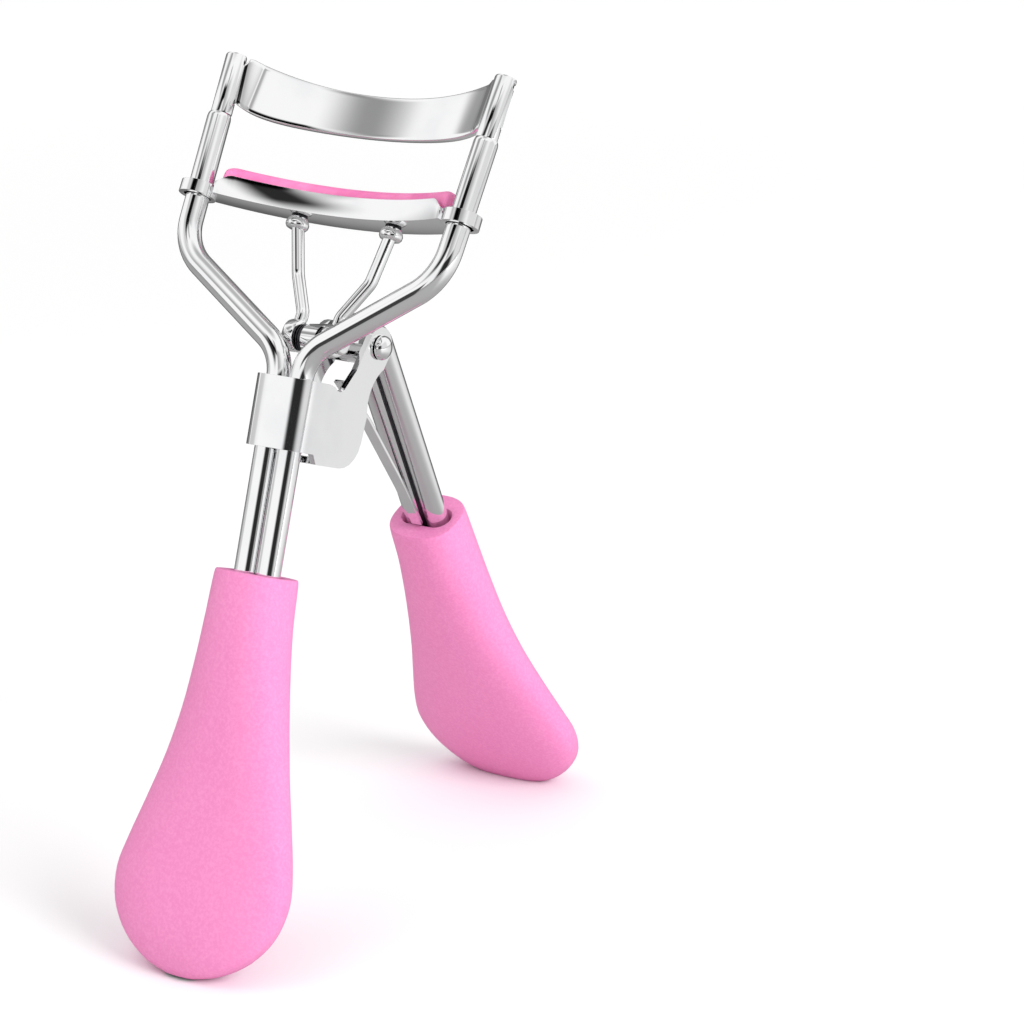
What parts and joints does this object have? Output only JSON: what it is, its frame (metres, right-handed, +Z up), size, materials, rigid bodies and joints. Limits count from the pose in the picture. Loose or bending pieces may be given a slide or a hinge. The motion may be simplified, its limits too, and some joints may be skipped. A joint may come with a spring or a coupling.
{
  "type": "eyelash curler",
  "caption": "Hand-operated eyelash curler: a curved upper plate and a padded sliding lower plate, closed by a hinged lever through two links, with pink grips.",
  "frame": {"origin": "floor level, midway between the two toes front to back, on the curler's mirror plane", "axes": "+Z up, +Y from the fixed front grip to the lever's rear grip, +X to the right seen from the front"},
  "size_m": [0.038, 0.0687, 0.09],
  "materials": {
    "chrome": "polished",
    "dark_steel": "dark oxide",
    "pink_plastic": "satin, fine grain",
    "pink_silicone": "soft satin"
  },
  "bodies": {
    "frame": {"frame_rod_left": "chrome", "frame_rod_right": "chrome", "upper_plate": "chrome", "fulcrum_bracket": "chrome", "fulcrum_rivet": "chrome", "front_grip": "pink_plastic"},
    "lever": {"lever_rod_left": "chrome", "lever_rod_right": "chrome", "lever_knuckle": "chrome", "link_pin": "chrome", "link_spacer_left": "dark_steel", "link_spacer_right": "dark_steel", "return_spring": "chrome", "rear_grip": "pink_plastic"},
    "jaw": {"lower_plate": "chrome", "lash_pad": "pink_silicone", "socket_left": "chrome", "socket_right": "chrome"},
    "link_l": {"link_left": "chrome"},
    "link_r": {"link_right": "chrome"}
  },
  "joints": [
    {"name": "lever_hinge", "type": "hinge", "parent": "frame", "child": "lever", "pos_m": [0, 0.00082, 0.06021], "axis": [-1, 0, 0], "range_deg": [0, 47], "stiffness_Nm_per_rad": 0.03, "springref_deg": -17.19},
    {"name": "jaw_slide", "type": "slide", "parent": "frame", "child": "jaw", "axis": [0, 0.5195, 0.8545], "range_m": [0, 0.0054]},
    {"name": "link_left_hinge", "type": "hinge", "parent": "jaw", "child": "link_l", "pos_m": [-0.00605, 0.00014, 0.0733], "axis": [1, 0, 0], "range_deg": [0, 3.7]},
    {"name": "link_right_hinge", "type": "hinge", "parent": "jaw", "child": "link_r", "pos_m": [0.00605, 0.00014, 0.0733], "axis": [1, 0, 0], "range_deg": [0, 3.7]}
  ],
  "couplings": [
    {"joint": "jaw_slide", "follows": "lever_hinge", "m_per_rad": 0.006461},
    {"joint": "link_left_hinge", "follows": "lever_hinge", "ratio": 0.0766},
    {"joint": "link_right_hinge", "follows": "lever_hinge", "ratio": 0.0766}
  ]
}
